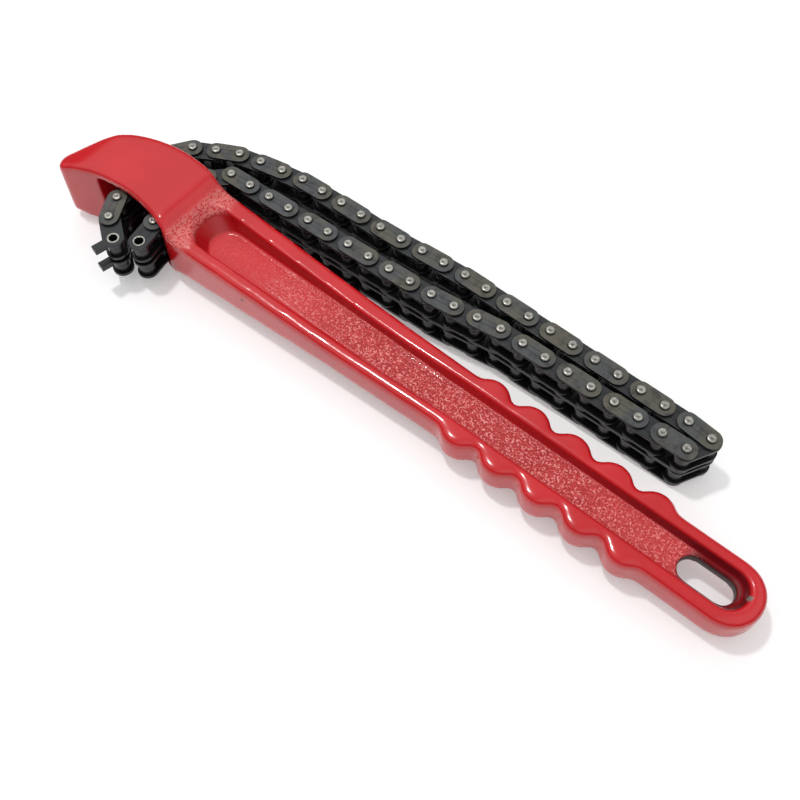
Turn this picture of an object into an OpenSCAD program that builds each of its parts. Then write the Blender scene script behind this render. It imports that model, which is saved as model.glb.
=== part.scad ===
// Chain wrench for oil filters: a cast handle with a hollow head, and a duplex
// roller chain threaded through the head so that it lies as one long folded loop.
// Millimetres. The head lies flat on z = 0, and the handle runs along +x.

/* [Chain] */
// Distance between pins
pitch = 9.525; // [9:0.025:11]
// Roller diameter
roller_d = 6.35; // [5.6:0.05:7.4]
// Bush outside diameter
bush_d = 4.9; // [4.5:0.05:5.4]
// Pin diameter
pin_d = 3.28; // [2.8:0.02:3.8]
// Gap between the inner plates of one strand
inner_w = 5.72; // [5:0.02:7]
// Thickness of an inner plate
inner_plate_t = 1.3; // [0.8:0.05:2]
// Thickness of an outer plate
outer_plate_t = 1.05; // [0.8:0.05:2]
// Thickness of the plate between the two strands
mid_plate_t = 1.7; // [1:0.05:2.5]
// Height of an inner plate
inner_plate_h = 8.2; // [7.6:0.05:8.5]
// Height of an outer plate and of the middle plate
outer_plate_h = 7.8; // [7:0.05:8.4]
// Diameter of a riveted pin end
rivet_d = 3.7; // [3.4:0.05:5]
// Height of a riveted pin end above its plate
rivet_h = 1.06; // [0.4:0.02:2]
// Eased edge of a riveted pin end
rivet_ease = 0.45; // [0.1:0.05:0.6]
// Diameter of the punch mark in a pin end
punch_d = 1.4; // [0.8:0.1:2]
// Depth of the punch mark in a pin end
punch_deep = 0.4; // [0.2:0.05:0.8]

/* [Lugs] */
// Width of a lug on the end link
lug_w = 3.1; // [2:0.1:6]
// Reach of a lug from the centre of the end bush
lug_reach = 8.5; // [7:0.1:14]
// Thickness of a lug
lug_t = 2.4; // [1.4:0.1:4]
// Gap between a lug's thick part and the edge of the roller
lug_clear = 1.1; // [0.5:0.1:2]
// Turn of a lug from the end link's own direction
lug_turn = 112; // [90:1:150]

/* [Fits] */
// Gap round a pin in its bush
pin_clear = 0.06; // [0.03:0.01:0.1]
// Gap round a bush in its roller
roller_clear = 0.08; // [0.04:0.01:0.15]
// Gap at each end of a roller
roller_gap = 0.1; // [0.05:0.01:0.3]
// Gap between an inner plate and the plate beside it
side_clear = 0.11; // [0.06:0.01:0.3]
// Hairline between pressed pieces of one link
press_gap = 0.02; // [0.01:0.01:0.05]
// Gap between a pin end and a cheek of the head
end_clear = 0.6; // [0.3:0.1:2]
// Gap between the returning run and the window's end
window_clear = 2.2; // [1:0.1:5]

/* [Head] */
// Thickness of each cheek
cheek_t = 3.4; // [2:0.1:6]
// Radius of the rounded back
head_r = 55; // [50:0.5:60]
// Distance from the handle's axis to the back
head_back = 15.9; // [14.5:0.1:16]
// Place of the back's crown along the handle
head_mid = -3; // [-8:0.5:2]
// Radius of the hollow front that bears on the filter
throat_r = 61; // [50:1:90]
// Distance from the handle's axis to the hollow front
throat_gap = 12.5; // [9:0.1:15]
// Place of the deepest point of the hollow front
throat_mid = -10.5; // [-15:0.5:-5]
// Distance from the window to the root of the beak's slope
beak_land = 1; // [0.5:0.1:3]
// Length of the slope under the beak
beak_run = 14.8; // [10:0.1:16]
// Distance from the handle's axis to the front of the beak's tip
beak_drop = 20.3; // [18:0.1:24]
// Distance from the handle's axis to the back of the beak's tip
nose_drop = 14; // [10:0.1:16]
// Length of the beak's blunt tip along the handle
nose_run = 2.4; // [1:0.1:4]
// Slant of the beak's outer edge
nose_turn = 66; // [60:1:74]
// Radius between the beak's outer edge and the back
nose_r = 25; // [16:0.5:28]
// Length over which the beak thins to its tip
nose_thin = 11; // [6:0.5:14]
// Thickness of the beak's tip
nose_t = 24.8; // [18:0.1:30]
// Distance from the datum back to the outgoing run in the window
run_back = 14.8; // [13:0.1:17]
// Distance from the handle's axis to the outgoing run's pin in the window
run_out = 3.7; // [2:0.1:6]
// Room in the window beside the outgoing run
window_room = 7.1; // [5:0.1:8]
// Wall between the window and the step
neck_wall = 1; // [0.6:0.1:4]
// Length of the step's slope
step_run = 4; // [1:0.1:8]
// Length of the eased edge above the step
ridge_run = 4; // [2:0.1:8]
// Drop of the eased edge above the step
ridge_drop = 1.9; // [0.5:0.1:2.4]

/* [Handle] */
// Handle length from the datum to its round end
handle_len = 260; // [250:1:320]
// Handle thickness at the foot of the step
neck_t = 20.5; // [16:0.1:24]
// Handle thickness along the grip
grip_t = 13.5; // [9:0.1:16]
// Distance from the step's foot to the end of the taper in thickness
taper_len = 74; // [40:1:100]
// Width of the grip
grip_w = 24.4; // [23:0.1:26]
// Start of the grip
grip_x = 140; // [120:1:145]
// Distance from the axis to the neck's back edge
neck_back = 14.3; // [13:0.1:15]
// Distance from the axis to the neck's front edge
neck_front = 17.6; // [16:0.1:19]
// Thickness of the web
web_t = 4.6; // [2:0.1:7]
// Width of the flange round the trough
flange_w = 5.2; // [4:0.1:6]
// Distance from the step's foot to the trough
trough_gap = 2.5; // [1:0.1:8]
// Trough half width at the neck
trough_r = 9.2; // [7:0.1:10]
// Offset of the trough's start from the middle of the neck
trough_shift = 0.7; // [0:0.1:2]
// Distance from the trough's end to the handle's end
trough_end = 6.2; // [5:0.1:12]

/* [Grip] */
// Number of finger bumps on each edge
bumps = 5; // [3:1:5]
// Distance between bumps
bump_pitch = 16.9; // [14:0.1:18]
// Place of the first bump
bump_x = 147; // [145:0.5:150]
// Radius of a bump
bump_r = 6.8; // [5:0.1:8]
// Height of a bump above the grip's edge
bump_h = 2.8; // [1:0.1:4]
// Length of the hanging slot
slot_len = 20.4; // [14:0.1:28]
// Width of the hanging slot
slot_w = 9.4; // [5:0.1:11]
// Distance from the slot to the trough's end
slot_inset = 3.3; // [0.2:0.1:10]

/* [Hidden] */
$fn = 64;
over = 1;

// Chain across its width
strand_w = inner_w + 2 * inner_plate_t;
strand_step = strand_w + mid_plate_t + 2 * side_clear;
outer_z = strand_step / 2 + strand_w / 2 + side_clear;
chain_w = 2 * (outer_z + outer_plate_t + rivet_h);
bore_d = pin_d + 2 * pin_clear;
head_t = chain_w + 2 * end_clear + 2 * cheek_t;
mid_z = head_t / 2;

// The run's direction in degrees, at a link's number, as it lies in the photograph
turns = [
    [0, 145], [1, 118], [2, 92], [4, 92], [5, 56], [6, 30], [7, 28], [8, 14],
    [10, 10], [11, 3], [14, 1], [16, 5], [18, 4], [19, 0], [28, 0], [29, -5],
    [30, -118], [31, -179], [38, -179], [39, -171], [41, -173], [42, -177],
    [51, -177], [52, -134], [53, -90], [55, -90], [56, -80]
];
last = 56;
fold = 30;
// The pin at the fold that is left open, so that the chain hangs from the head as two runs
open_pin = 31;
// The pin inside the head that the rest of the run is counted from
held_pin = 4;
held_at = [-run_back, run_out];

function heading(i) = lookup(i, turns);
function step(i) = pitch * [cos(heading(i)), sin(heading(i))];
walk = [for (i = 0, p = [0, 0]; i <= last + 1; p = p + step(i), i = i + 1) p];
route = [for (p = walk) held_at + p - walk[held_pin]];

// Places along the casting
window_x0 = held_at.x - inner_plate_h / 2 - window_room;
window_x1 = max(route[last - 3].x, route[last - 2].x) + inner_plate_h / 2 + window_clear;
beak_root = window_x0 - beak_land;
step_x = window_x1 + neck_wall;
foot_x = step_x + step_run;
taper_x = foot_x + taper_len;
grip_r = grip_w / 2;
end_x = handle_len - grip_r;
trough_y = (neck_back - neck_front) / 2 - trough_shift;
trough_x0 = foot_x + trough_gap + trough_r;
trough_half = grip_r - flange_w;
trough_x1 = handle_len - trough_end - trough_half;
slot_x1 = handle_len - trough_end - slot_inset - slot_w / 2;
slot_x0 = slot_x1 - (slot_len - slot_w);
throat_at = [throat_mid, -throat_gap - throat_r];
head_at = [head_mid, head_back - head_r];
far = head_r + handle_len;

function throat_y(x) = throat_at.y + sqrt(throat_r * throat_r - (x - throat_mid) * (x - throat_mid));
function back_y(x) = head_at.y + sqrt(head_r * head_r - (x - head_mid) * (x - head_mid));

// The beak's outer edge, and the arc that joins it to the back
nose_at = [beak_root - beak_run - nose_run, -nose_drop];
nose_dir = [cos(nose_turn), sin(nose_turn)];
nose_in = [sin(nose_turn), -cos(nose_turn)];
nose_lean = acos((nose_r - (head_at - nose_at) * nose_in) / (head_r - nose_r)) - (90 - nose_turn);
nose_out = [cos(nose_lean), sin(nose_lean)];
nose_centre = head_at + (head_r - nose_r) * nose_out;

function numbered(i) = str(i % 2 == 0 ? "roller_link_" : "pin_link_", i < 10 ? "0" : "", i);
function link_name(i) =
    i == 0 ? "lug_end_link" : i == fold ? "fold_link" : i == last ? "plain_end_link" : numbered(i);

module head_plan() {
    difference() {
        intersection() {
            translate(head_at) circle(r = head_r);
            polygon([
                nose_at - far * nose_dir, nose_at - far * nose_dir + 2 * far * nose_in,
                nose_at + far * nose_dir + 2 * far * nose_in, nose_at + far * nose_dir
            ]);
            union() {
                polygon([
                    [beak_root, far], [-far, far], [-far, -nose_drop], nose_at,
                    [beak_root - beak_run, -beak_drop], [beak_root, throat_y(beak_root)]
                ]);
                difference() {
                    translate([beak_root, -far]) square([step_x - beak_root, 2 * far]);
                    translate(throat_at) circle(r = throat_r);
                }
            }
        }
        difference() {
            polygon([
                nose_centre, nose_centre + far * nose_out,
                nose_centre + far * (nose_out - nose_in), nose_centre - far * nose_in
            ]);
            translate(nose_centre) circle(r = nose_r);
        }
    }
}

module handle_plan() {
    polygon([
        [head_mid, back_y(step_x)], [step_x, back_y(step_x)], [foot_x, neck_back],
        [grip_x, grip_r], [end_x, grip_r], [end_x, -grip_r], [grip_x, -grip_r],
        [foot_x, -neck_front], [head_mid, -throat_gap]
    ]);
}

module blank() {
    linear_extrude(head_t) head_plan();
    linear_extrude(head_t) handle_plan();
    translate([end_x, 0, 0]) cylinder(r = grip_r, h = head_t);
    for (k = [0:bumps - 1], side = [-1, 1])
        translate([bump_x + k * bump_pitch, side * (grip_r + bump_h - bump_r), 0])
            cylinder(r = bump_r, h = head_t);
}

// Half thicknesses along the casting, from the beak to the round end
side = [
    [-far, nose_t / 2], [nose_at.x, nose_t / 2], [nose_at.x + nose_thin, mid_z],
    [step_x - ridge_run, mid_z], [step_x, mid_z - ridge_drop], [foot_x, neck_t / 2],
    [taper_x, grip_t / 2], [far, grip_t / 2]
];

module handle_side() {
    polygon(concat(
        [for (p = side) [p.x, mid_z + p.y]],
        [for (k = [len(side) - 1:-1:0]) [side[k].x, mid_z - side[k].y]]
    ));
}

module trough_plan() {
    translate([trough_x0, trough_y]) circle(r = trough_r);
    polygon([
        [trough_x0, trough_y + trough_r], [grip_x, trough_half], [trough_x1, trough_half],
        [trough_x1, -trough_half], [grip_x, -trough_half], [trough_x0, trough_y - trough_r]
    ]);
    translate([trough_x1, 0]) circle(r = trough_half);
}

module slot_plan() {
    translate([slot_x0, 0]) circle(d = slot_w);
    translate([slot_x0, -slot_w / 2]) square([slot_x1 - slot_x0, slot_w]);
    translate([slot_x1, 0]) circle(d = slot_w);
}

module handle() {
    color("firebrick") difference() {
        intersection() {
            blank();
            translate([0, far, 0]) rotate([90, 0, 0]) linear_extrude(2 * far) handle_side();
        }
        translate([window_x0, -far, cheek_t])
            cube([window_x1 - window_x0, 2 * far, head_t - 2 * cheek_t]);
        translate([0, 0, mid_z + web_t / 2]) linear_extrude(head_t) trough_plan();
        translate([0, 0, mid_z - web_t / 2 - head_t]) linear_extrude(head_t) trough_plan();
        linear_extrude(head_t) slot_plan();
    }
}

module link_plan(h) {
    circle(d = h);
    translate([0, -h / 2]) square([pitch, h]);
    translate([pitch, 0]) circle(d = h);
}

module plate(h, t, hole_d) {
    linear_extrude(t) difference() {
        link_plan(h);
        circle(d = hole_d);
        translate([pitch, 0]) circle(d = hole_d);
    }
}

module tube(outer, inner, len) {
    translate([0, 0, -len / 2]) difference() {
        cylinder(d = outer, h = len);
        translate([0, 0, -over]) cylinder(d = inner, h = len + 2 * over);
    }
}

module lug_plate() {
    hole_d = bush_d + 2 * press_gap;
    inside = roller_d / 2 + lug_clear;
    difference() {
        union() {
            linear_extrude(inner_plate_t) link_plan(inner_plate_h);
            rotate([0, 0, lug_turn]) translate([0, -lug_w / 2, 0]) cube([lug_reach, lug_w, inner_plate_t]);
            rotate([0, 0, lug_turn]) translate([inside, -lug_w / 2, inner_plate_t - lug_t])
                cube([lug_reach - inside, lug_w, lug_t]);
        }
        for (x = [0, pitch]) translate([x, 0, -over]) cylinder(d = hole_d, h = inner_plate_t + 2 * over);
    }
}

module roller_link(lugs) {
    hole_d = bush_d + 2 * press_gap;
    for (side = [-1, 1]) translate([0, 0, side * strand_step / 2]) {
        color("dimgray") translate([0, 0, -strand_w / 2]) plate(inner_plate_h, inner_plate_t, hole_d);
        color("dimgray") translate([0, 0, inner_w / 2])
            if (lugs) lug_plate();
            else plate(inner_plate_h, inner_plate_t, hole_d);
        for (x = [0, pitch]) translate([x, 0, 0]) {
            color("silver") tube(bush_d, bore_d, strand_w);
            color("gray") tube(roller_d, bush_d + 2 * roller_clear, inner_w - 2 * roller_gap);
        }
    }
}

module rivet_end() {
    h = rivet_h - press_gap;
    translate([0, 0, outer_z + outer_plate_t + press_gap]) difference() {
        intersection() {
            cylinder(d = rivet_d, h = h);
            cylinder(d1 = rivet_d + 2 * (h - rivet_ease), d2 = rivet_d - 2 * rivet_ease, h = h);
        }
        translate([0, 0, h - punch_deep]) cylinder(d1 = 0, d2 = punch_d, h = punch_deep);
    }
}

module pin() {
    len = outer_z + outer_plate_t + press_gap;
    translate([0, 0, -len]) cylinder(d = pin_d, h = 2 * len);
    rivet_end();
    mirror([0, 0, 1]) rivet_end();
}

module stud() {
    translate([0, 0, outer_z]) cylinder(d = pin_d, h = outer_plate_t + press_gap);
    rivet_end();
}

module pin_link(open) {
    hole_d = pin_d + 2 * press_gap;
    color("dimgray") translate([0, 0, -mid_plate_t / 2]) plate(outer_plate_h, mid_plate_t, hole_d);
    for (side = [0, 1]) mirror([0, 0, side]) {
        color("dimgray") translate([0, 0, outer_z]) plate(outer_plate_h, outer_plate_t, hole_d);
        if (open) color("silver") stud();
    }
    if (!open) color("silver") pin();
    color("silver") translate([pitch, 0, 0]) pin();
}

module chain_link(i) {
    translate([route[i].x, route[i].y, mid_z]) rotate([0, 0, heading(i)])
        if (i % 2 == 0) roller_link(i == 0);
        else pin_link(i == open_pin);
}

handle();
for (i = [0:last]) chain_link(i);
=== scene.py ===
import math

import bmesh
import bpy
from mathutils import Matrix, Vector


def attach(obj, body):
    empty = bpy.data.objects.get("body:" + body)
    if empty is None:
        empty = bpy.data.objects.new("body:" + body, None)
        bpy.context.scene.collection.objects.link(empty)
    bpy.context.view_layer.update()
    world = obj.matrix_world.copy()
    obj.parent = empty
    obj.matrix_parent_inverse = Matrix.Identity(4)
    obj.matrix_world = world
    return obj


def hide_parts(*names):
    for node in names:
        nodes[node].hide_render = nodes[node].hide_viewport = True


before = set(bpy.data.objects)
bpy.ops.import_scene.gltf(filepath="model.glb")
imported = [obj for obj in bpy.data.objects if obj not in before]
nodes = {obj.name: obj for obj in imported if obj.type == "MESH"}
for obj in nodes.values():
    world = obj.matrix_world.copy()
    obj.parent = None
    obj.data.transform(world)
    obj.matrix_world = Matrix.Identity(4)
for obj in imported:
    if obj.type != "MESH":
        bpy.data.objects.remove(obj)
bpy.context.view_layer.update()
scene = bpy.context.scene
mm = 0.001  # lengths are in mm, apart from a bump's distance and the studio
midZ = 15.5  # middle plane of the head and of the chain
print("frame loaded:", len(nodes), "nodes")


# a node's output, for shader maths
class Value:
    def __init__(self, look, socket):
        self.look = look
        self.socket = socket

    def __add__(self, other):
        return self.look.maths("ADD", self, other)

    def __sub__(self, other):
        return self.look.maths("SUBTRACT", self, other)

    def __rsub__(self, other):
        return self.look.maths("SUBTRACT", other, self)

    def __mul__(self, other):
        return self.look.maths("MULTIPLY", self, other)

    def __abs__(self):
        return self.look.maths("ABSOLUTE", self)

    __radd__ = __add__
    __rmul__ = __mul__


# the nodes of a material or of the world
class Look:
    def __init__(self, owner):
        owner.use_nodes = True
        self.owner = owner
        self.tree = owner.node_tree
        self.tree.nodes.clear()
        metres = self.node("ShaderNodeTexCoord", out="Object")
        self.place = self.node(
            "ShaderNodeVectorMath", {"operation": "SCALE"}, {0: metres, "Scale": 1 / mm}
        )
        self.x, self.y, self.z = [
            self.node("ShaderNodeSeparateXYZ", sockets={0: self.place}, out=k) for k in range(3)
        ]

    # any node: its settings first, then the values or links of its sockets
    def node(self, kind, settings=None, sockets=None, out=0):
        made = self.tree.nodes.new(kind)
        for key, value in (settings or {}).items():
            setattr(made, key, value)
        for key, value in (sockets or {}).items():
            if isinstance(value, Value):
                self.tree.links.new(value.socket, made.inputs[key])
            else:
                made.inputs[key].default_value = value
        if made.outputs:
            return Value(self, made.outputs[out])

    def maths(self, operation, first, second=0.0):
        return self.node("ShaderNodeMath", {"operation": operation}, {0: first, 1: second})

    # goes from first to last while the value goes from low to high
    def run(self, value, low, high, first=0.0, last=1.0, shape="LINEAR"):
        return self.node(
            "ShaderNodeMapRange",
            {"interpolation_type": shape},
            {0: value, 1: low, 2: high, 3: first, 4: last},
        )

    def step(self, value, low, high):
        return self.run(value, low, high, shape="SMOOTHSTEP")

    def fall(self, value, low, high):
        return 1 - self.step(value, low, high)

    def band(self, value, start, full, fade, end):
        return self.step(value, start, full) * self.fall(value, fade, end)

    def distance(self, first, second):
        return self.node(
            "ShaderNodeVectorMath", {"operation": "DISTANCE"}, {0: first, 1: second}, out="Value"
        )

    def noise(self, scale, detail, rough):
        return self.node(
            "ShaderNodeTexNoise",
            sockets={"Vector": self.place, "Scale": scale, "Detail": detail, "Roughness": rough},
        )

    def mix(self, factor, first, second):
        def colour(value):
            return value if isinstance(value, Value) else (*value, 1.0)

        return self.node(
            "ShaderNodeMix",
            {"data_type": "RGBA"},
            {0: factor, 6: colour(first), 7: colour(second)},
            out=2,
        )

    def mixShader(self, factor, first, second):
        return self.node("ShaderNodeMixShader", sockets={0: factor, 1: first, 2: second})

    def bump(self, height, strength, distance, over=None):
        sockets = {"Height": height, "Strength": strength, "Distance": distance}
        if over:
            sockets["Normal"] = over
        return self.node("ShaderNodeBump", sockets=sockets)

    # 1 for rays of the given kinds
    def rays(self, *kinds):
        found = 0.0
        for kind in kinds:
            ray = self.node("ShaderNodeLightPath", out="Is %s Ray" % kind)
            found = self.maths("MAXIMUM", ray, found)
        return found

    def finish(self, shader, output="ShaderNodeOutputMaterial"):
        self.node(output, sockets={"Surface": shader})
        return self.owner


def addObject(name, data):
    made = bpy.data.objects.new(name, data)
    scene.collection.objects.link(made)
    return made


def meshFrom(bm, name):
    bmesh.ops.recalc_face_normals(bm, faces=bm.faces[:])
    mesh = bpy.data.meshes.new(name)
    bm.to_mesh(mesh)
    bm.free()
    return mesh


def along(first, last, k, count):
    return first + (last - first) * k / count


def arc(centre, radius, start, end, count):
    turns = [math.radians(along(start, end, k, count)) for k in range(count + 1)]
    x, y = centre
    return [(x + radius * math.cos(turn), y + radius * math.sin(turn)) for turn in turns]


# a body between two flat outlines that have the same number of points
def pulled(name, low, high, lowZ, highZ):
    bm = bmesh.new()
    rings = []
    for outline, height in ((low, lowZ), (high, highZ)):
        corners = [bm.verts.new((x * mm, y * mm, height * mm)) for x, y in outline]
        edges = [bm.edges.new(pair) for pair in zip(corners, corners[1:] + corners[:1])]
        bmesh.ops.contextual_create(bm, geom=edges)
        rings += edges
    bmesh.ops.bridge_loops(bm, edges=rings)
    return addObject(name, meshFrom(bm, name))


def cut(target, tool, operation):
    step = target.modifiers.new(tool.name, "BOOLEAN")
    step.object = tool
    step.operation = operation
    step.solver = "EXACT"


# modifiers into the mesh
def settle(target):
    graph = bpy.context.evaluated_depsgraph_get()
    mesh = bpy.data.meshes.new_from_object(target.evaluated_get(graph))
    target.modifiers.clear()
    target.data = mesh


casting = {
    "headCentre": (-3.0, -39.1),
    "headRadius": 55.0,
    "noseAt": (-44.2, -14.0),
    "noseTurn": 66.0,
    "noseRadius": 25.0,
    "noseThin": 11.0,  # length over which the beak thins
    "noseThick": 24.8,
    "tipFront": (-41.8, -20.3),
    "tipRadius": 2.4,
    "tipInset": (0.5, 0.6),  # where the tip's two corners have their centres, in radii
    "tipTurns": (270, 215, 195),
    "beakRoot": -27.0,
    "throatCentre": (-10.5, -73.5),  # of the hollow front
    "throatRadius": 61.0,
    "headThick": 30.998,
    "cheek": 3.4,
    "windowX": (-26.0, 11.2),
    "ridgeX": 8.2,
    "ridgeDrop": 1.9,
    "stepX": 12.2,
    "footX": 16.2,
    "neckBack": 14.3,
    "neckFront": 17.6,
    "neckThick": 20.5,
    "taperEnd": 90.0,
    "gripThick": 13.5,
    "gripX": 140.0,
    "gripHalf": 12.2,
    "bumpX": 147.0,
    "bumpPitch": 16.9,
    "bumps": 5,
    "bumpRadius": 8.0,
    "crest": 15.5,
    "valley": 11.2,  # half width between two bumps, before the smoothing
    "valleyEase": 0.35,  # how softly the bumps run into the edge
    "length": 260.0,
    "curveSteps": 24,
    "headSteps": 30,
    "gripSteps": 140,
    "endSteps": 40,
    "tipSteps": (8, 6),
    "rimStart": 16.0,
    "rimAngle": 1.0,  # in radians, edges that are sharper get the bevel
    "rimWidth": 1.9,  # bevel along the handle's outer edges, before the smoothing
    "rimSegments": 4,
    "roundVoxel": 0.8,
    "roundSteps": 25,  # smoothing that rounds the outer edges
    "fineVoxel": 0.66,
    "fineSteps": 6,  # smoothing that breaks the edges of the trough, slot and window
    "smoothing": 0.5,
}

trough = {
    "web": 4.6,
    "depth": 15.5,  # height of the cutter, past the neck's top
    "startLow": (31.5, -2.35, 8.0, 1.0),  # centre, radius, and the back corner: 1 is round, less is squarer
    "startHigh": (19.6, -2.35, 10.65, 0.25),
    "gripY": -0.3,
    "gripLow": 5.7,
    "gripHigh": 12.3,
    "endLow": (246.3, 0.2, 5.7),
    "endHigh": (248.4, 0.2, 12.3),
    "startSteps": 40,
    "endSteps": 32,
    "slotX": (234.8, 245.8),
    "slotHalf": 4.7,
    "slotZ": (-5.0, 40.0),
    "slotSteps": 24,
}


def castingPlan():
    c = casting
    headX, headY = c["headCentre"]
    noseX, noseY = c["noseAt"]
    turn = math.radians(c["noseTurn"])
    inX, inY = math.sin(turn), -math.cos(turn)
    # centre of the arc between the beak's outer edge and the back
    reach = c["headRadius"] - c["noseRadius"]
    share = (c["noseRadius"] - (headX - noseX) * inX - (headY - noseY) * inY) / reach
    lean = math.acos(share) - (math.pi / 2 - turn)
    noseCentre = (headX + reach * math.cos(lean), headY + reach * math.sin(lean))
    noseEdge = 90 + c["noseTurn"]
    leanTurn = math.degrees(lean)
    footTurn = math.degrees(math.acos((c["stepX"] - headX) / c["headRadius"]))
    curveSteps = c["curveSteps"]
    plan = arc(noseCentre, c["noseRadius"], noseEdge, leanTurn, curveSteps)
    plan += arc(c["headCentre"], c["headRadius"], leanTurn, footTurn, c["headSteps"])
    back, front = [], []
    for k in range(curveSteps):
        x = along(c["footX"], c["gripX"], k, curveSteps)
        back.append((x, along(c["neckBack"], c["gripHalf"], k, curveSteps)))
        front.append((x, along(-c["neckFront"], -c["gripHalf"], k, curveSteps)))
    grip = []
    gripEnd = c["length"] - c["gripHalf"]
    lastBump = c["bumpX"] + (c["bumps"] - 1) * c["bumpPitch"]
    ease = c["valleyEase"]
    for k in range(c["gripSteps"]):
        x = along(c["gripX"], gripEnd, k, c["gripSteps"])
        near = min(max(round((x - c["bumpX"]) / c["bumpPitch"]), 0), c["bumps"] - 1)
        away = x - c["bumpX"] - near * c["bumpPitch"]
        rise = math.sqrt(max(c["bumpRadius"] ** 2 - away ** 2, 0)) + c["crest"] - c["bumpRadius"]
        edge = c["valley"] if c["bumpX"] < x < lastBump else c["gripHalf"]
        grip.append((x, ease * math.log(math.exp(rise / ease) + math.exp(edge / ease))))
    plan += back + grip
    plan += arc((gripEnd, 0), c["gripHalf"], 90, -90, c["endSteps"])
    plan += [(x, -y) for x, y in reversed(grip)]
    plan += list(reversed(front))
    # the hollow front, from the neck to the beak
    throatX = c["throatCentre"][0]
    startTurn = math.degrees(math.acos((c["stepX"] - throatX) / c["throatRadius"]))
    rootTurn = math.degrees(math.acos((c["beakRoot"] - throatX) / c["throatRadius"]))
    plan += arc(c["throatCentre"], c["throatRadius"], startTurn, rootTurn, curveSteps)
    # the rounded tip
    tipX, tipY = c["tipFront"]
    radius = c["tipRadius"]
    insetX, insetY = c["tipInset"]
    first, middle, last = c["tipTurns"]
    frontSteps, noseSteps = c["tipSteps"]
    plan += arc((tipX + radius * insetX, tipY + radius), radius, first, middle, frontSteps)
    plan += arc((noseX + radius, noseY - radius * insetY), radius, last, noseEdge, noseSteps)
    return plan


def troughPlan(start, y, half, end):
    startX, startY, radius, backPower = start
    plan = []
    for dx, dy in arc((0, 0), 1.0, 90, 270, trough["startSteps"]):
        power = backPower if dy > 0 else 1.0
        x = startX - radius * abs(dx) ** power
        plan.append((x, startY + radius * math.copysign(abs(dy) ** power, dy)))
    plan.append((casting["gripX"], y - half))
    plan += arc(end[:2], end[2], -90, 90, trough["endSteps"])
    plan.append((casting["gripX"], y + half))
    return plan


def soften(body, voxel, steps):
    grain = body.modifiers.new("grain", "REMESH")
    grain.mode = "VOXEL"
    grain.voxel_size = voxel * mm
    grain.use_smooth_shade = True
    soft = body.modifiers.new("soft", "SMOOTH")
    soft.factor = casting["smoothing"]
    soft.iterations = steps
    settle(body)


def bevelRim(body):
    bm = bmesh.new()
    bm.from_mesh(body.data)
    start = casting["rimStart"] * mm
    sharp = [
        edge for edge in bm.edges
        if len(edge.link_faces) == 2 and edge.calc_face_angle() > casting["rimAngle"]
    ]
    rim = [edge for edge in sharp if min(vert.co.x for vert in edge.verts) > start]
    bmesh.ops.bevel(
        bm, geom=rim, offset=casting["rimWidth"] * mm, offset_type="OFFSET", affect="EDGES",
        segments=casting["rimSegments"], profile=0.5, material=-1, clamp_overlap=False,
    )
    bm.to_mesh(body.data)
    bm.free()


def makeCasting():
    c, t = casting, trough
    far, wide = 400.0, 60.0  # past the casting, along and across
    plan = castingPlan()
    body = pulled("castHandle", plan, plan, 0, c["headThick"])
    # the outline in side view, drawn flat and turned up
    noseX = c["noseAt"][0]
    half, noseHalf = c["headThick"] / 2, c["noseThick"] / 2
    neckHalf, gripHalf = c["neckThick"] / 2, c["gripThick"] / 2
    upper = [
        (-far, noseHalf), (noseX, noseHalf), (noseX + c["noseThin"], half),
        (c["ridgeX"], half), (c["stepX"], half - c["ridgeDrop"]), (c["footX"], neckHalf),
        (c["taperEnd"], gripHalf), (far, gripHalf),
    ]
    side = upper + [(x, -z) for x, z in reversed(upper)]
    slab = pulled("slab", side, side, -wide, wide)
    upright = Matrix.Rotation(math.pi / 2, 4, "X")
    slab.data.transform(Matrix.Translation((0, 0, midZ * mm)) @ upright)
    cut(body, slab, "INTERSECT")
    settle(body)
    bevelRim(body)
    soften(body, c["roundVoxel"], c["roundSteps"])
    # window, troughs and slot
    low, high = c["windowX"]
    windowLine = [(low, -wide), (high, -wide), (high, wide), (low, wide)]
    cutters = [pulled("window", windowLine, windowLine, c["cheek"], c["headThick"] - c["cheek"])]
    floorLine = troughPlan(t["startLow"], t["gripY"], t["gripLow"], t["endLow"])
    mouthLine = troughPlan(t["startHigh"], t["gripY"], t["gripHigh"], t["endHigh"])
    for face in (-1, 1):
        web = midZ + face * t["web"] / 2
        name = "trough%d" % face
        cutters.append(pulled(name, floorLine, mouthLine, web, web + face * t["depth"]))
    first, last = t["slotX"]
    slotLine = arc((first, 0), t["slotHalf"], 90, 270, t["slotSteps"])
    slotLine += arc((last, 0), t["slotHalf"], -90, 90, t["slotSteps"])
    cutters.append(pulled("slot", slotLine, slotLine, *t["slotZ"]))
    for cutter in cutters:
        cut(body, cutter, "DIFFERENCE")
    settle(body)
    for tool in [slab] + cutters:
        bpy.data.objects.remove(tool)
    soften(body, c["fineVoxel"], c["fineSteps"])
    print("casting:", len(body.data.polygons), "faces")
    return body


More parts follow.
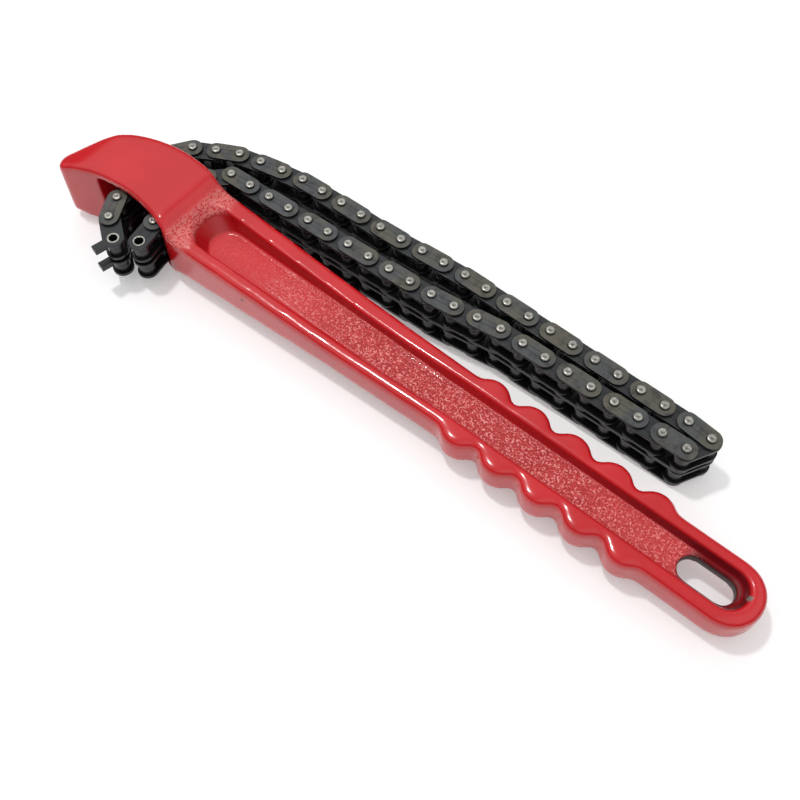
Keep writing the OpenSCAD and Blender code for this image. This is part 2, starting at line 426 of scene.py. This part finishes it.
# X is along the handle, Half to each side of its middle and Z from its middle plane
paint = {
    "red": (0.64, 0.0095, 0.0155),
    "deep": (0.57, 0.008, 0.0125),
    # painted shade for the grain's hollows and painted highlights for its tops
    "grainHollowShade": (0.36, 0.006, 0.008),
    "grainHighlight": (0.98, 0.34, 0.325),
    # painted sheen on the rough grain
    "grainSheen": (0.74, 0.17, 0.16),
    # painted shade for the trough's walls and round the slot, deeper towards the end
    "shade": (0.30, 0.004, 0.007),
    "endShade": (0.11, 0.004, 0.008),
    "iron": (0.04, 0.03, 0.029),
    "steel": (0.22, 0.21, 0.19),
    "sand": (1.6, 1.5, 0.5),  # scale, detail and roughness of a noise
    "fine": (1.2, 2.0, 0.6),
    "peel": (0.3, 1.0, 0.5),
    "tone": (0.045, 2.0, 0.5),
    "toneStep": (0.3, 0.7),
    "webX": (24.0, 30.0),  # the sand-cast grain on the web
    "webHalf": (5.6, 7.0),
    "webZ": (2.35, 3.2),
    "grainUp": (42.0, 105.0),  # comes up between these
    "grainLeast": 0.1,
    "grainThin": (185.0, 215.0),
    "grainDrop": 0.4,
    "grainEnd": (229.0, 237.0),
    # painted shade in the grain's hollows and painted highlights on its tops
    "hollowShadeStep": (0.4, 0.48),
    "hollowShadeShare": 0.6,
    "grainHighlightStep": (0.55, 0.63),
    # painted sheen over the whole web grain
    "webSheen": 0.2,
    "neckX": (12.4, 14.6, 19.0, 25.0),  # the grain at the foot of the head
    "neckZ": (7.4, 8.6),
    "neckHeight": 0.5,
    # painted sheen in pale spots on the neck's grain
    "neckStep": (0.4, 0.52),
    "neckSheenShare": 0.95,
    "grainBump": (1.0, 0.0011),  # strength, and distance in metres
    "peelBump": (0.06, 0.0006),
    "wallX": (14.0, 16.0, 254.3, 255.3),  # painted shade on the trough's walls
    "wallZ": (2.6, 3.2),
    "wallReach": (11.0, 8.4),
    "reachSoft": (-0.5, 0.5),
    "rimSoft": (-1.5, -0.6),
    "wallShare": 0.55,
    "darkX": (150.0, 240.0),  # the painted shade on the walls gets deeper from here to here
    "darkShare": 0.3,
    "stripX": (229.0, 234.0, 252.0, 254.0),  # painted shade on the web round the slot
    "stripHalf": (7.0, 8.0),
    "bareX": (228.0, 229.0, 252.0, 253.0),  # bare iron inside the slot
    "bareHalf": (5.4, 5.9),
    "bareZ": (1.5, 2.1),
    "bareSand": (0.6, 0.6),
    "chips": (((51.0, -15.9, 17.9), 0.6), ((254.5, 1.6, 20.8), 1.2)),  # places and sizes
    "chipSoft": (0.3, 0.9),
    "steelZ": (3.0, 4.0),  # bare spots above this are bright
    "rough": 0.15,
    "webRough": 0.22,
    "neckRough": 0.25,
    "peelRough": 0.06,
    "bareRough": 0.3,
    "coat": 0.3,
    "neckCoat": 0.2,
    "coatRough": 0.04,
}


def redPaint():
    p, c = paint, casting
    look = Look(bpy.data.materials.new("redPaint"))
    x, across = look.x, abs(look.y)
    height = abs(look.z - midZ)
    sand = look.noise(*p["sand"])
    fine = look.noise(*p["fine"])
    peel = look.noise(*p["peel"])
    tone = look.noise(*p["tone"])
    web = look.fall(height, *p["webZ"]) * look.fall(abs(look.y - trough["gripY"]), *p["webHalf"])
    web = web * look.step(x, *p["webX"]) * look.fall(x, *p["grainEnd"])
    webGrain = web * (p["grainLeast"] + look.step(x, *p["grainUp"]) * (1 - p["grainLeast"]))
    webGrain = webGrain * (1 - look.step(x, *p["grainThin"]) * p["grainDrop"])
    neckGrain = look.band(x, *p["neckX"]) * look.step(height, *p["neckZ"])
    bumps = look.bump(sand * webGrain + fine * neckGrain * p["neckHeight"], *p["grainBump"])
    bumps = look.bump(peel, *p["peelBump"], bumps)
    colour = look.mix(look.step(tone, *p["toneStep"]), p["deep"], p["red"])
    # painted shade on the trough's walls, whose top edge falls and comes in towards the grip, and on the
    # web round the slot
    rim = look.run(x, c["footX"], c["taperEnd"], c["neckThick"] / 2, c["gripThick"] / 2)
    reach = look.run(x, c["footX"], c["gripX"], *p["wallReach"])
    wallShade = look.step(height, *p["wallZ"]) * look.fall(height - rim, *p["rimSoft"])
    wallShade = wallShade * look.fall(across - reach, *p["reachSoft"]) * look.band(x, *p["wallX"])
    slotShade = look.band(x, *p["stripX"]) * look.fall(height, *p["wallZ"])
    wallShade = look.maths("MAXIMUM", wallShade, slotShade * look.fall(across, *p["stripHalf"]))
    nearEnd = look.step(x, *p["darkX"])
    dark = look.mix(nearEnd, p["shade"], p["endShade"])
    colour = look.mix(wallShade * (p["wallShare"] + nearEnd * p["darkShare"]), colour, dark)
    # painted sheen: pale spots on the neck's grain and a paler web grain
    neckSheen = neckGrain * look.step(fine, *p["neckStep"]) * p["neckSheenShare"]
    colour = look.mix(neckSheen, colour, p["grainSheen"])
    colour = look.mix(webGrain * p["webSheen"], colour, p["grainSheen"])
    # painted shade in the grain's hollows and painted highlights on its tops
    hollowShade = webGrain * look.fall(sand, *p["hollowShadeStep"]) * p["hollowShadeShare"]
    colour = look.mix(hollowShade, colour, p["grainHollowShade"])
    colour = look.mix(webGrain * look.step(sand, *p["grainHighlightStep"]), colour, p["grainHighlight"])
    # bare iron inside the hanging slot and in two chips
    bare = look.band(x, *p["bareX"]) * look.fall(across, *p["bareHalf"])
    least, more = p["bareSand"]
    bare = bare * look.fall(height, *p["bareZ"]) * (least + sand * more)
    for spot, size in p["chips"]:
        away = look.distance(look.place, spot)
        chip = look.fall(away + fine, *[size + soft for soft in p["chipSoft"]])
        bare = look.maths("MAXIMUM", bare, chip)
    metal = look.mix(look.step(height, *p["steelZ"]), p["iron"], p["steel"])
    colour = look.mix(bare, colour, metal)
    rough = p["rough"] + webGrain * p["webRough"] + neckGrain * p["neckRough"]
    return look.finish(look.node("ShaderNodeBsdfPrincipled", sockets={
        "Base Color": colour,
        "Roughness": rough + peel * p["peelRough"] + bare * p["bareRough"],
        "Coat Weight": (p["coat"] - neckGrain * p["neckCoat"]) * (1 - bare),
        "Coat Roughness": p["coatRough"],
        "Normal": bumps,
    }))


# Z is from the middle plane: the outer plates reach 10.44, the rivets 11.5, the inner plates 9.27
steel = {
    # the chain's dark oxide, which is also painted on the sides of the plates as shade below their lighter
    # tops
    "black": (0.009, 0.0095, 0.011),
    "grey": (0.068, 0.073, 0.076),
    "olive": (0.098, 0.092, 0.068),
    # oil for the smears and specks, also painted round the rivet heads as shadow
    "oil": (0.020, 0.020, 0.020),
    # painted shade on the inner plates' tops between the outer plates
    "inner": (0.022, 0.024, 0.026),
    "innerShadeShare": 0.8,
    "rivetDark": (0.28, 0.275, 0.245),
    "rivetLight": (0.56, 0.55, 0.50),
    "rivetStep": (0.3, 0.7),
    "faceZ": (10.36, 10.42),
    "innerZ": (9.19, 9.25, 9.29, 9.33),
    "rivetZ": (10.45, 10.47),
    "shineZ": (11.08, 11.4),  # painted shade: the punch mark and the rivets' sides stay dark
    "blotch": (0.07, 3.0, 0.6),  # scale, detail and roughness of a noise
    "speck": (1.1, 4.0, 0.7),
    "smear": (0.3, 2.0, 0.6),
    "blotchStep": (0.4, 0.6),
    "smearStep": (0.45, 0.75),
    "smearShare": 0.7,
    "speckStep": (0.5, 0.8),
    "speckShare": 0.5,
    "speckBump": (0.25, 0.00012),  # strength, and distance in metres
    "lugEnd": (-1.87, -29.21),  # middles of the two open bushes
    "plainEnd": (6.56, -23.98),
    "ringZ": (9.21, 9.25),
    "ringReach": (2.21, 2.46),
    "metallic": 0.9,
    "rough": 0.24,
    "speckRough": 0.14,
    "faceRough": 0.12,
    "specular": 0.45,
    "weld": 0.002,
    "edge": 0.2,
    "edgeSegments": 2,
    "edgeTurn": 40,
}


def chainSteel(name, openEnd=None):
    s = steel
    look = Look(bpy.data.materials.new(name))
    height = abs(look.z - midZ)
    blotch = look.noise(*s["blotch"])
    speck = look.noise(*s["speck"])
    smear = look.noise(*s["smear"])
    rivet = look.step(height, *s["rivetZ"])
    face = look.step(height, *s["faceZ"]) * (1 - rivet)
    bright = look.step(height, *s["shineZ"])
    if openEnd:
        flat = look.node("ShaderNodeCombineXYZ", sockets={0: look.x, 1: look.y})
        ring = look.fall(look.distance(flat, (*openEnd, 0.0)), *s["ringReach"])
        bright = look.maths("MAXIMUM", bright, ring * look.step(height, *s["ringZ"]))
    plate = look.mix(look.step(blotch, *s["blotchStep"]), s["grey"], s["olive"])
    plate = look.mix(look.step(smear, *s["smearStep"]) * s["smearShare"], plate, s["oil"])
    plate = look.mix(look.step(speck, *s["speckStep"]) * s["speckShare"], plate, s["oil"])
    # plate colours on the tops and black below them: the chain's oxide, with the sides painted darker as
    # shade
    colour = look.mix(face, s["black"], plate)
    # painted shade on the inner plates between the outer plates
    colour = look.mix(look.band(height, *s["innerZ"]) * s["innerShadeShare"], colour, s["inner"])
    # painted shadow round the rivet heads, in the oil colour
    colour = look.mix(rivet, colour, s["oil"])
    metal = look.mix(look.step(speck, *s["rivetStep"]), s["rivetDark"], s["rivetLight"])
    return look.finish(look.node("ShaderNodeBsdfPrincipled", sockets={
        "Base Color": look.mix(bright, colour, metal),
        "Metallic": bright * s["metallic"],
        "Roughness": s["rough"] + speck * s["speckRough"] + face * s["faceRough"],
        "Specular IOR Level": s["specular"],
        "Normal": look.bump(speck, *s["speckBump"]),
    }))


def dressChain():
    plain = chainSteel("chainSteel")
    ends = {
        "lug_end_link": chainSteel("lugEndSteel", steel["lugEnd"]),
        "plain_end_link": chainSteel("plainEndSteel", steel["plainEnd"]),
    }
    for name, link in nodes.items():
        if name == "handle":
            continue
        link.data.materials.clear()
        link.data.materials.append(ends.get(name, plain))
        weld = link.modifiers.new("weld", "WELD")
        weld.merge_threshold = steel["weld"] * mm
        edge = link.modifiers.new("edge", "BEVEL")
        edge.width = steel["edge"] * mm
        edge.segments = steel["edgeSegments"]
        edge.limit_method = "ANGLE"
        edge.angle_limit = math.radians(steel["edgeTurn"])
        edge.harden_normals = True
    print("chain dressed")


shot = {
    "place": (237.9, -151.4, 340.4),
    "right": (0.7716, 0.6361, 0.0),
    "forward": (-0.311, 0.378, -0.872),
    "sensor": 36.0,
    "lens": 47.6,
    "clipStart": 10.0,
}


def setCamera():
    forward = Vector(shot["forward"]).normalized()
    right = Vector(shot["right"])
    right = (right - forward * right.dot(forward)).normalized()
    turn = Matrix((right, right.cross(forward), -forward)).transposed()
    data = bpy.data.cameras.new("camera")
    data.sensor_width = shot["sensor"]
    data.lens = shot["lens"]
    data.clip_start = shot["clipStart"] * mm
    camera = addObject("camera", data)
    camera.matrix_world = Matrix.Translation(Vector(shot["place"]) * mm) @ turn.to_4x4()
    scene.camera = camera


# places and sizes in metres, foldAt and paperFar in mm
studio = {
    "lampPlace": (-0.26, -0.02, 1.2),
    "lampAim": (0.1, 0.0, 0.02),
    "lampSize": 0.1,
    "lampPower": 5.4,
    "horizon": 0.13,
    "skyShare": 0.9,  # how much of the white sky lights the object
    "skyRise": (0.3, 0.8),  # sine of the height above the horizon where the sky turns white
    "skyDark": (-0.4, 0.0, 0.06, 0.22),  # across the sky, where its reflection is darker
    "darkDrop": 0.5,
    "floorSize": 3.0,
    "floorGap": 0.0001,
    "foldAt": (215.0, 4.0),  # the floor runs from under the ridge up to the chain's fold
    "paper": 0.94,
    "seenPaper": 0.8,
    "paperGlow": 0.29,
    "paperFar": (500.0, 1300.0),  # white from here on, so that no horizon shows
}
white = (1.0, 1.0, 1.0, 1.0)


def setFloor():
    bm = bmesh.new()
    bmesh.ops.create_grid(bm, x_segments=2, y_segments=2, size=studio["floorSize"])
    floor = addObject("floor", meshFrom(bm, "floor"))
    ridgeX = casting["ridgeX"]
    foldX, foldZ = studio["foldAt"]
    rise = foldZ / (foldX - ridgeX)
    floor.data.transform(Matrix.Rotation(-math.atan(rise), 4, "Y"))
    floor.data.transform(Matrix.Translation((0, 0, -rise * ridgeX * mm - studio["floorGap"])))
    look = Look(bpy.data.materials.new("paleFloor"))
    paper, seenPaper = [
        look.node("ShaderNodeBsdfDiffuse", sockets={"Color": (*[studio[shade]] * 3, 1.0)})
        for shade in ("paper", "seenPaper")
    ]
    glow, farWhite = [
        look.node("ShaderNodeEmission", sockets={"Color": white, "Strength": strength})
        for strength in (studio["paperGlow"], 1.0)
    ]
    near = look.node("ShaderNodeAddShader", sockets={0: seenPaper, 1: glow})
    away = look.distance(look.place, (0.0, 0.0, 0.0))
    seen = look.mixShader(look.step(away, *studio["paperFar"]), near, farWhite)
    mixed = look.mixShader(look.rays("Camera", "Transmission", "Glossy"), paper, seen)
    floor.data.materials.append(look.finish(mixed))


def setLight():
    scene.world = bpy.data.worlds.new("studio")
    look = Look(scene.world)
    dim, bright = [
        look.node("ShaderNodeBackground", sockets={"Color": white, "Strength": strength})
        for strength in (studio["horizon"], 1.0)
    ]
    # in the world, x and z are the ray's direction
    overhead = look.step(look.z * mm, *studio["skyRise"])
    side = 1 - look.band(look.x * mm, *studio["skyDark"]) * studio["darkDrop"]
    share = studio["skyShare"] + look.rays("Glossy") * (side - studio["skyShare"])
    seen = look.maths("MAXIMUM", look.rays("Camera", "Transmission"), overhead * share)
    look.finish(look.mixShader(seen, dim, bright), "ShaderNodeOutputWorld")
    data = bpy.data.lights.new("lamp", "AREA")
    data.shape = "DISK"
    data.size = studio["lampSize"]
    data.energy = studio["lampPower"]
    lamp = addObject("lamp", data)
    lamp.location = studio["lampPlace"]
    aim = Vector(studio["lampAim"]) - lamp.location
    lamp.rotation_euler = aim.to_track_quat("-Z", "Y").to_euler()


setCamera()
scene.view_settings.view_transform = "Standard"
castHandle = makeCasting()
castHandle.data.materials.clear()
castHandle.data.materials.append(redPaint())
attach(castHandle, "handle")
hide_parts("handle")
dressChain()
setFloor()
setLight()
print("scene ready")
